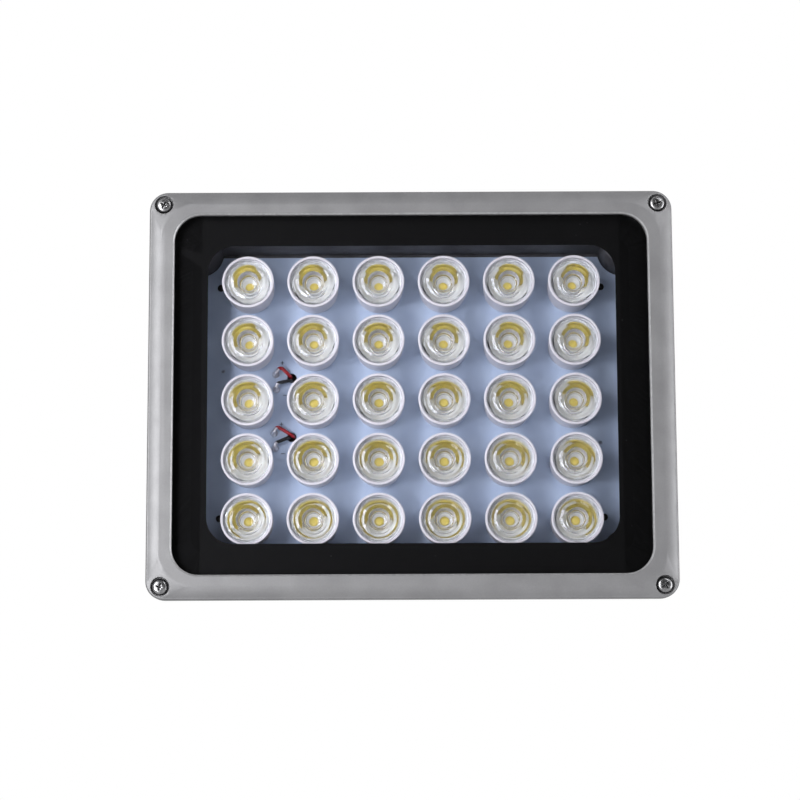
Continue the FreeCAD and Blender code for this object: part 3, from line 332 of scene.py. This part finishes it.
def moulded(name, light, dark, roughness, patch, grit, grit_depth, metallic=0.0):
    """A mottled colour in patches, a fine grit and a roughness that wanders a little. Patch, grit
    and grit depth are in millimetres, and real grit is finer: it is drawn as coarse as it needs to
    show."""
    material, tree, coords = new_material(name)
    shader = add(tree, "BsdfPrincipled", {
        "Base Color": mottled(tree, coords, light, dark, patch),
        "Roughness": wander(tree, coords, patch / 2, 2.0, roughness - 0.06, roughness + 0.06),
        "Metallic": metallic,
        "Normal": grain(tree, coords, grit, grit_depth)})
    add(tree, "OutputMaterial", {"Surface": shader.outputs["BSDF"]})
    return material


def bright_metal(name, light, dark, roughness):
    """Bare or plated metal, tumbled bright, with small streaks of wear, drawn coarser than the
    real ones so that they show."""
    material, tree, coords = new_material(name)
    shader = add(tree, "BsdfPrincipled", {
        "Base Color": mottled(tree, coords, light, dark, 1.2),
        "Roughness": wander(tree, coords, 0.8, 3.0, roughness - 0.08, roughness + 0.12),
        "Metallic": 1.0,
        "Normal": grain(tree, coords, 0.5, 0.01)})
    add(tree, "OutputMaterial", {"Surface": shader.outputs["BSDF"]})
    return material


def enamel_shader(tree, coords):
    """Silver enamel: flakes under a satin coat, over the casting's slow ripple. Real flakes of
    about 0.03 mm are too fine to show, so these are 0.7 mm wide."""
    toned = add(tree, "Mix", {"Factor": 1.0}, data_type="RGBA", blend_type="MULTIPLY")
    tree.links.new(mottled(tree, coords, "757577", "6b6b6d", 14.0), toned.inputs["A"])
    tree.links.new(wander(tree, coords, 0.7, 4.0, 0.90, 1.10), toned.inputs["B"])
    ripple = grain(tree, coords, 7.0, 0.06)
    shader = add(tree, "BsdfPrincipled", {
        "Base Color": toned.outputs["Result"],
        "Metallic": 0.6,
        "Roughness": wander(tree, coords, 9.0, 3.0, 0.42, 0.52),
        "Normal": grain(tree, coords, 0.9, 0.012, ripple)})
    return shader.outputs["BSDF"]


def silver_enamel(name):
    """The silver enamel on the outside of the castings."""
    material, tree, coords = new_material(name)
    add(tree, "OutputMaterial", {"Surface": enamel_shader(tree, coords)})
    return material


def housing_enamel():
    """The silver enamel, with the light tray's inside drawn a darker grey."""
    material, tree, coords = new_material("silver_enamel_with_dark_grey_tray_inside")
    low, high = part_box("led_board")
    place = add(tree, "SeparateXYZ", {"Vector": coords})
    reach = [(place.outputs["X"], 0.0, (high.x - low.x) / 2 + 3.0 * MM),
             (place.outputs["Z"], (low.z + high.z) / 2, (high.z - low.z) / 2 + 3.0 * MM),
             (place.outputs["Y"], (FRONT + BOARD_FRONT) / 2,
              (BOARD_FRONT - FRONT) / 2 + 2.4 * MM)]
    near = [add(tree, "Math", {0: value, 1: centre, 2: half}, operation="COMPARE").outputs[0]
            for value, centre, half in reach]
    inside = near[0]
    for factor in near[1:]:
        inside = add(tree, "Math", {0: inside, 1: factor}, operation="MULTIPLY").outputs[0]
    black = add(tree, "BsdfPrincipled", {
        "Base Color": mottled(tree, coords, "5c5c5e", "4c4c4e", 5.0),
        "Roughness": 0.6,
        "Normal": grain(tree, coords, 0.6, 0.03)})
    mix = add(tree, "MixShader", {0: inside, 1: enamel_shader(tree, coords),
                                  2: black.outputs["BSDF"]})
    add(tree, "OutputMaterial", {"Surface": mix.outputs[0]})
    return material


def float_glass():
    """Toughened float glass: what lies behind shows unbent, under a thin mirror of the room."""
    material, tree, coords = new_material("clear_float_glass")
    clear = add(tree, "BsdfTransparent", {"Color": hex_colour("f8f8fb")})
    mirror = add(tree, "BsdfGlossy", {"Color": hex_colour("ffffff"), "Roughness": 0.02,
                                      "Normal": grain(tree, coords, 40.0, 0.01)})
    fresnel = add(tree, "Fresnel", {"IOR": 1.5})
    mix = add(tree, "MixShader", {0: fresnel.outputs[0], 1: clear.outputs[0],
                                  2: mirror.outputs[0]})
    add(tree, "OutputMaterial", {"Surface": mix.outputs[0]})
    return material


def acrylic_lens():
    """Polished acrylic, which bends what is seen through it and lets the lamps' light through."""
    material, tree, coords = new_material("polished_clear_acrylic")
    body = add(tree, "BsdfGlass", {"Color": hex_colour("f8f9f9"), "Roughness": 0.0,
                                   "IOR": ACRYLIC_IOR, "Normal": grain(tree, coords, 2.5, 0.004)})
    through = add(tree, "BsdfTransparent", {"Color": hex_colour("e6e8e8")})
    path = add(tree, "LightPath")
    mix = add(tree, "MixShader", {0: path.outputs["Is Shadow Ray"], 1: body.outputs[0],
                                  2: through.outputs[0]})
    add(tree, "OutputMaterial", {"Surface": mix.outputs[0]})
    return material


def ceramic_print():
    """Black print fired on the glass, with a few pale specks of dust."""
    material, tree, coords = new_material("black_ceramic_print")
    shader = add(tree, "BsdfPrincipled", {
        "Base Color": mottled(tree, coords, "555555", "050505", 1.6, 1.0, 0.80, 0.86),
        "Roughness": 0.5,
        "Specular IOR Level": 0.1})
    add(tree, "OutputMaterial", {"Surface": shader.outputs["BSDF"]})
    return material


# Satin silver-grey with fine flakes and a cast ripple, which takes the softboxes as soft bands
bezel_silver = silver_enamel("silver_enamel_on_die_cast_bezel")
# The same grey outside, and the dark walls of the tray that frame the pale board
housing_silver = housing_enamel()
# The same grey on the plain cover at the back
cover_silver = silver_enamel("silver_enamel_on_cast_cover")
# A lighter, even grey with the grain of baked powder
bracket_coat = moulded("silver_powder_coat_on_steel", "a9a9ab", "999a9c", 0.45, 18.0, 0.6, 0.03,
                       metallic=0.35)
# Dark mirrors with sharp highlights on the pan heads in the bezel's corners
screw_steel = bright_metal("nickel_plated_screw_steel", "8f8f90", "666669", 0.24)
# A thin pale line around the glass: a painted highlight on the bezel's chamfer, in a brighter
# metal colour
chamfer_highlight_metal = bright_metal("painted_highlight_on_bezel_chamfer", "a8a8aa", "919193", 0.45)
# Bluish bright steel on the pivots' bolts and washers
zinc_steel = bright_metal("zinc_plated_steel", "c3c5c8", "9fa1a5", 0.32)
# A duller, greyer steel on the strip over the drivers
spring_strip = bright_metal("tempered_spring_strip", "b4b6ba", "8f9196", 0.36)
# Nearly white blobs that catch the light beside the lead holes
bright_solder = bright_metal("bright_tin_solder", "f6f6f7", "cdcdd0", 0.3)
# Black dots with a faint shine on the pale board
black_screw = moulded("black_oxide_steel", "1b1b1c", "0e0e0f", 0.35, 1.0, 0.3, 0.01, metallic=0.8)
# A faint mirror that shows the pane is there, and leaves the lenses clear
glass_pane = float_glass()
# The deep black frame around the window
black_border = ceramic_print()
# Clear lenses with bright arcs, in which the phosphor shows as a yellow crescent or ring
lens_acrylic = acrylic_lens()
# Matt black with a slight tooth
silicone_rubber = moulded("black_silicone_rubber", "202021", "151516", 0.7, 4.0, 0.4, 0.02)
# A cool pale blue sheet, soft and even, between the lenses
solder_mask = moulded("pale_solder_mask_on_aluminium_board", "c6d8ed", "bacce4", 0.42, 9.0, 0.5,
                      0.008)
# A dull grey sheet that shows only at the board's edge
gap_pad = moulded("grey_silicone_gap_pad", "a2a9b4", "8e959f", 0.8, 3.0, 0.3, 0.02)
# Warm yellow with a fine powdery grain, the colour in each lens. The powder is drawn 0.12 mm
# coarse, because its real grains are too fine to show
phosphor = moulded("silicone_with_yellow_phosphor", "e4cd5c", "d8ba45", 0.45, 0.8, 0.12, 0.01)
# Clean white rims around the lenses, a little shiny
holder_white = moulded("white_polycarbonate", "efedee", "e6e3e5", 0.35, 5.0, 0.4, 0.006)
# Off-white, slightly warm plastic of the terminal block
terminal_nylon = moulded("natural_white_polyamide", "e3e0d6", "d5d2c8", 0.5, 3.0, 0.3, 0.01)
# Soft, half-shiny sleeves of the leads, in the four colours that tell them apart
red_sleeve = moulded("red_silicone_sleeve", "b5121c", "8f0c15", 0.4, 1.5, 0.2, 0.01)
black_sleeve = moulded("black_silicone_sleeve", "19191a", "0f0f10", 0.4, 1.5, 0.2, 0.01)
brown_sleeve = moulded("brown_pvc_sleeve", "6b3f22", "583219", 0.45, 1.5, 0.2, 0.01)
blue_sleeve = moulded("blue_pvc_sleeve", "2b5fae", "214e93", 0.45, 1.5, 0.2, 0.01)
# Plain warm white of the potted drivers' cases
driver_case = moulded("white_polycarbonate_driver_case", "dedcd6", "d2d0c9", 0.5, 8.0, 0.5, 0.02)
# Greyish black with the matt grain of filled nylon
gland_nylon = moulded("black_glass_filled_polyamide", "262627", "1a1a1b", 0.5, 4.0, 0.35, 0.03)
# Flat blue-grey ink of the small plus and minus marks
mark_ink = moulded("grey_marking_ink", "4d5266", "434759", 0.6, 0.6, 0.1, 0.004)
# Clean white body around the phosphor, which lights the lens from inside
led_ceramic = moulded("white_led_ceramic", "e9e7e2", "dbd8d2", 0.4, 0.8, 0.15, 0.006)


# Lamps, room and camera

def make_camera():
    """A long lens 0.93 m away and a little below the middle, looking up."""
    tilt, roll = math.radians(8.34), math.radians(-0.24)
    distance = 931.6 * MM
    aim = Vector((-4.95 * MM, FRONT, -3.49 * MM))
    away = Vector((0, -math.cos(tilt), -math.sin(tilt)))
    data = bpy.data.cameras.new("camera")
    data.lens = 98.73
    data.sensor_width = 36
    camera = bpy.data.objects.new("camera", data)
    upright = Matrix.Rotation(math.radians(90) + tilt, 4, "X")
    turn = upright @ Matrix.Rotation(roll, 4, "Z")
    camera.matrix_world = Matrix.Translation(aim + away * distance) @ turn
    bpy.context.scene.collection.objects.link(camera)
    bpy.context.scene.camera = camera


def make_softbox(name, place, width, height, power, roll=0):
    """A softbox aimed at the middle of the lamp's front, and rolled by some degrees. Its place
    and sides are in metres, its power in watts."""
    data = bpy.data.lights.new(name, "AREA")
    data.shape = "RECTANGLE"
    data.size, data.size_y = width, height
    data.energy = power
    lamp = bpy.data.objects.new(name, data)
    lamp.location = place
    aim = Vector((0, FRONT, 0)) - Vector(place)
    rolled = aim.to_track_quat("-Z", "Y") @ Quaternion((0, 0, 1), math.radians(roll))
    lamp.rotation_euler = rolled.to_euler()
    bpy.context.scene.collection.objects.link(lamp)


def make_room():
    """A white room with a tall dark screen behind the camera, so that the glass mirrors little.
    Glossy rays see the screen, other rays see a dim white that leaves most of the lighting to
    the lamps, and the camera sees white, also through glass."""
    fill, white, screen_tone = 0.35, 1.0, 0.03
    screen_stretch = 0.4  # below 1, the screen is taller than wide
    screen_edge, screen_middle = 0.80, 0.94
    world = bpy.data.worlds.new("white_room")
    bpy.context.scene.world = world
    world.use_nodes = True
    tree = world.node_tree
    tree.nodes.clear()
    path = add(tree, "LightPath")
    way = add(tree, "TexCoord").outputs["Generated"]
    narrow = add(tree, "VectorMath", {0: way, 1: (1.0, 1.0, screen_stretch)},
                 operation="MULTIPLY")
    level = add(tree, "VectorMath", {0: narrow.outputs[0]}, operation="NORMALIZE")
    ahead = add(tree, "VectorMath", {0: level.outputs[0], 1: (0.0, -1.0, 0.0)},
                operation="DOT_PRODUCT")
    screen = add(tree, "MapRange", {
        "Value": ahead.outputs["Value"], "From Min": screen_edge, "From Max": screen_middle,
        "To Min": white, "To Max": screen_tone})
    mirrored = add(tree, "Mix", {0: path.outputs["Is Glossy Ray"], 2: fill,
                                 3: screen.outputs["Result"]})
    seen = add(tree, "Math", {0: path.outputs["Is Camera Ray"],
                              1: path.outputs["Is Transmission Ray"]}, operation="MAXIMUM")
    strength = add(tree, "Mix", {0: seen.outputs[0], 2: mirrored.outputs[0], 3: white})
    shade = add(tree, "Background", {"Color": (1, 1, 1, 1), "Strength": strength.outputs[0]})
    add(tree, "OutputWorld", {"Surface": shade.outputs[0]})


def make_floor():
    """A white floor far below the lamp. It shows white, also in metal and glass, and keeps a
    faint shadow."""
    drop, size, glow_share = -0.5, 14, 0.92
    start_clean()
    bpy.ops.mesh.primitive_plane_add(size=size, location=(0, 0, drop))
    floor = bpy.context.object
    floor.name = "studio_floor"
    material, tree, coords = new_material("white_studio_floor")
    board = add(tree, "BsdfDiffuse", {"Color": mottled(tree, coords, "f4f4f4", "efefef", 300.0)})
    glow = add(tree, "Emission", {"Color": (1, 1, 1, 1), "Strength": 1.0})
    path = add(tree, "LightPath")
    seen = path.outputs["Is Camera Ray"]
    for ray in ("Is Glossy Ray", "Is Transmission Ray"):
        seen = add(tree, "Math", {0: seen, 1: path.outputs[ray]}, operation="MAXIMUM").outputs[0]
    share = add(tree, "Math", {0: seen, 1: glow_share}, operation="MULTIPLY")
    mix = add(tree, "MixShader", {0: share.outputs[0], 1: board.outputs[0], 2: glow.outputs[0]})
    add(tree, "OutputMaterial", {"Surface": mix.outputs[0]})
    paint(floor, material)


make_camera()
make_room()
make_floor()
make_softbox("left_softbox", (-0.72, -1.30, 0.10), 0.5, 0.85, 19.3)
make_softbox("high_right_softbox", (0.56, -1.18, 0.74), 0.42, 0.32, 3.4)
make_softbox("strip_softbox", (-0.57, -1.33, -0.37), 0.48, 0.17, 2.5, roll=-45)
make_softbox("right_softbox", (1.08, -0.74, -0.05), 0.4, 0.9, 8.8)
bpy.context.scene.view_settings.view_transform = "Standard"


# Lens array

def row_places(node, depth):
    """The centres of a row's six pieces, in millimetres."""
    low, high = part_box(node)
    radius = (high.z - low.z) / 2
    pitch = (high.x - low.x - 2 * radius) / (COLUMNS - 1)
    return [((low.x + radius + pitch * column) / MM, depth / MM, (low.z + high.z) / 2 / MM)
            for column in range(COLUMNS)]


def lens_side():
    """The side from the flange to the foot: a cone, then the curve that turns the LED's light
    forward. Each step's slope is the one that mirrors a ray from the LED, bent by the well's
    wall, along the axis. Halving finds the ray's rise, and every tenth step is kept."""
    radius, depth = LENS_FOOT, LENS_DEPTH
    rings = [(radius, depth)]
    while radius < LENS_BELLY:
        low, high = -0.5, 1.5
        for _ in range(30):
            rise = (low + high) / 2
            bent = math.asin(math.sin(rise) / ACRYLIC_IOR)
            reached = (LED_DEPTH - LENS_WELL * math.tan(rise)
                       - (radius - LENS_WELL) * math.tan(bent))
            low, high = (rise, high) if reached > depth else (low, rise)
        radius += LENS_STEP
        depth -= LENS_STEP * math.tan(math.radians(45) + bent / 2)
        rings.append((radius, depth))
    cone = [(LENS_BELLY + (LENS_SHOULDER - LENS_BELLY) * step / 6,
             depth + (LENS_FLANGE_BACK - depth) * step / 6) for step in range(6, 0, -1)]
    return cone + rings[::-10] + [rings[0]]


def make_lens():
    """The clear collimator lens of one LED."""
    lens = turned("lens", LENS_FRONT + lens_side() + LENS_BACK, 72)
    smooth(lens, 50)
    flatten_normals(lens)
    paint(lens, lens_acrylic)
    return lens


def make_holder():
    """The white cup that holds a lens over its LED."""
    holder = turned("holder", HOLDER, 72, closed=True)
    smooth(holder, 40)
    paint(holder, holder_white)
    return holder


def make_led():
    """A white ceramic LED with a yellow dome."""
    led = turned("led", LED, 40)
    paint(led, led_ceramic)
    led.data.materials.append(phosphor)
    for face in led.data.polygons:
        near_axis = math.hypot(face.center.x, face.center.z) < PHOSPHOR_RADIUS * MM
        if near_axis and face.center.y < -LED_BODY_HEIGHT * MM:
            face.material_index = 1
    smooth(led, 40)
    return led


def make_lens_array():
    """Thirty lenses, holders and LEDs, six of a kind in a piece."""
    lens, holder, led = make_lens(), make_holder(), make_led()
    for row in ROWS:
        turns = [(0, LENS_SPIN * (row * COLUMNS + column) % 360, 0) for column in range(COLUMNS)]
        for template, kind, slot, depth in (
                (lens, "lens_optics", "clear_acrylic", RIM_FRONT + LENS_RECESS * MM),
                (holder, "lens_holders", "white_plastic", RIM_FRONT),
                (led, "led_emitters", "phosphor", BOARD_FRONT)):
            node = f"{kind}_row_{row}"
            piece = copies(template, f"{node}_finished", row_places(node, depth), turns)
            hand_over(piece, "lamp_head", slot, node)
    discard(lens, holder, led)


# Screws

def make_cross_cutter(reach, depth):
    """A tapered cross, as the driver bit that presses a screw's recess."""
    blades = []
    for turn in (0, 90):
        blade = block(2 * reach, 0.38 * reach, 2 * depth)
        bpy.ops.object.mode_set(mode="EDIT")
        select_vertices(blade, lambda co: co.z > 0)
        bpy.ops.transform.resize(value=(0.42, 0.6, 1), center_override=(0, 0, depth * MM))
        bpy.ops.object.mode_set(mode="OBJECT")
        blades.append(settle(blade, turn=(-90, turn, 0)))
    return blades


def make_screw(name, head, height, shank, length, material):
    """A pan-head screw with a pressed cross recess, whose head sits in front of depth 0. Head and
    shank are radii in millimetres."""
    rings = [(radius * head, depth * height) for radius, depth in PAN_HEAD]
    rings += [(shank, 0.0), (shank, length - shank * 0.5), (shank * 0.5, length), (0, length)]
    screw = turned(name, rings, 48)
    for blade in make_cross_cutter(head * 0.66, height * 0.85):
        settle(blade, (0, -height, 0))
        apply_modifier(screw, "BOOLEAN", operation="DIFFERENCE", object=blade, solver="EXACT")
        discard(blade)
    apply_modifier(screw, "BEVEL", width=0.09 * MM, segments=2, limit_method="ANGLE",
                   angle_limit=math.radians(38))
    smooth(screw, 40)
    paint(screw, material)
    return screw


def corner_places(node, head, depth):
    """The centres of four screws, in millimetres, from their node's box."""
    low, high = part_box(node)
    return [((x + dx * head * MM) / MM, depth / MM, (z + dz * head * MM) / MM)
            for z, dz in ((high.z, -1), (low.z, 1)) for x, dx in ((low.x, 1), (high.x, -1))]


def make_screws():
    """The sets of four screws: each with its sizes, its spins in degrees and the way it faces."""
    for node, head, height, shank, length, material, slot, spins, facing in (
            ("bezel_screws", 3.5, 2.6, 1.75, 14.0, screw_steel, "steel", (28, 74, 12, 51), 0),
            ("board_screws", 1.5, 1.2, 0.8, 5.0, black_screw, "black_steel",
             (10, 40, 65, 80), 0),
            ("rear_cover_screws", 3.7, 2.6, 2.0, 14.0, zinc_steel, "steel",
             (33, 5, 61, 20), 180)):
        low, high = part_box(node)
        seat = high.y - height * MM if facing else low.y + height * MM
        screw = make_screw(f"{node}_template", head, height, shank, length, material)
        turns = [(0, spin, facing) for spin in spins]
        piece = copies(screw, f"{node}_finished", corner_places(node, head, seat), turns)
        hand_over(piece, "lamp_head", slot, node)
        discard(screw)


# Solder joints and marks on the board

def make_solder_joints():
    """A heap of solder over the end of each lead."""
    blob = turned("blob", SOLDER, 28)
    smooth(blob, 60)
    paint(blob, bright_solder)
    places = [(x, BOARD_FRONT / MM, z) for x, z in JOINTS]
    piece = copies(blob, "solder_joints_finished", places, [(0, 0, 0)] * len(places))
    hand_over(piece, "lamp_head", "solder", "solder_joints")
    discard(blob)


def make_marks():
    """Plain plus and minus marks beside the joints, printed on the board."""
    bars = []
    for x, z, sign in MARKS:
        for turn in ((0, 0, 0), (0, 90, 0)) if sign == "+" else ((0, 0, 0),):
            bar = block(*MARK_BAR)
            apply_modifier(bar, "BEVEL", width=0.01 * MM, segments=1)
            bars.append(settle(bar, (x, BOARD_FRONT / MM - MARK_LIFT, z), turn))
    marks = joined(bars, "polarity_marks")
    paint(marks, mark_ink)
    hand_over(marks, "lamp_head", "black_print")


# Pieces whose CAD shape is right

def dress_bezel():
    """The bezel, with a painted highlight on its chamfer beside the glass: the chamfer's faces
    take a brighter metal colour.
    """
    piece = dressed("front_bezel", "silver_paint", bezel_silver, 0.2)
    piece.data.materials.append(chamfer_highlight_metal)
    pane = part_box("glass_pane")[1]
    lap = 3.1 * MM  # how far the bezel's lip lies over the pane
    for face in piece.data.polygons:
        centre = face.center
        beside_glass = abs(centre.x) < pane.x - lap and abs(centre.z) < pane.z - lap
        # faces on the chamfer get the painted highlight colour
        if beside_glass and FRONT + 0.1 * MM < centre.y < FRONT + 0.65 * MM:
            face.material_index = 1


def dress_lead(node, slot, material):
    """A lead, tinned from its last bend to its joint."""
    piece = dressed(node, slot, material)
    piece.data.materials.append(bright_solder)
    for face in piece.data.polygons:
        reach = min(math.hypot(face.center.x - x * MM, face.center.z - z * MM)
                    for x, z in JOINTS)
        if reach < TINNED_REACH * MM and face.center.y < BOARD_FRONT:
            face.material_index = 1


make_lens_array()
make_screws()
make_solder_joints()
make_marks()
dress_bezel()
dressed("rear_housing", "silver_paint", housing_silver, 0.5)
dressed("rear_cover", "silver_paint", cover_silver)
dress_lead("upper_red_lead", "red_insulation", red_sleeve)
dress_lead("upper_black_lead", "black_insulation", black_sleeve)
dress_lead("lower_red_lead", "red_insulation", red_sleeve)
dress_lead("lower_black_lead", "black_insulation", black_sleeve)
dressed("gland_body", "black_nylon", gland_nylon, 0.4)
dressed("gland_cap", "black_nylon", gland_nylon, 0.5)
dressed("gland_seal", "gasket_rubber", silicone_rubber, 0.3)
dressed("gland_washer", "gasket_rubber", silicone_rubber, 0.2)
for kind, slot, material, edge in (
        ("spacer", "black_nylon", gland_nylon, 0.15),
        ("flat_washer", "steel", zinc_steel, 0.15),
        ("spring_washer", "steel", zinc_steel, 0.15),
        ("pivot_bolt", "steel", zinc_steel, 0.3)):
    for side in ("left", "right"):
        dressed(f"{side}_{kind}", slot, material, edge)
dressed("mounting_bracket", "bracket_paint", bracket_coat, 0.4, body="bracket")

# Flat and inner pieces keep their CAD shape and get their real finish
for material, kept in (
        (glass_pane, ["glass_pane"]),
        (black_border, ["black_border"]),
        (silicone_rubber, ["glass_gasket", "rear_cover_gasket"]),
        (solder_mask, ["led_board"]),
        (gap_pad, ["thermal_pad"]),
        (driver_case, ["upper_driver", "lower_driver"]),
        (spring_strip, ["driver_clamp"]),
        (zinc_steel, ["driver_clamp_screws"]),
        (terminal_nylon, ["terminal_block"]),
        (brown_sleeve, ["live_leads"]),
        (blue_sleeve, ["neutral_leads"]),
        (gland_nylon, ["gland_locknut"])):
    for node in kept:
        for slot in nodes[node].material_slots:
            slot.material = material

start_clean()
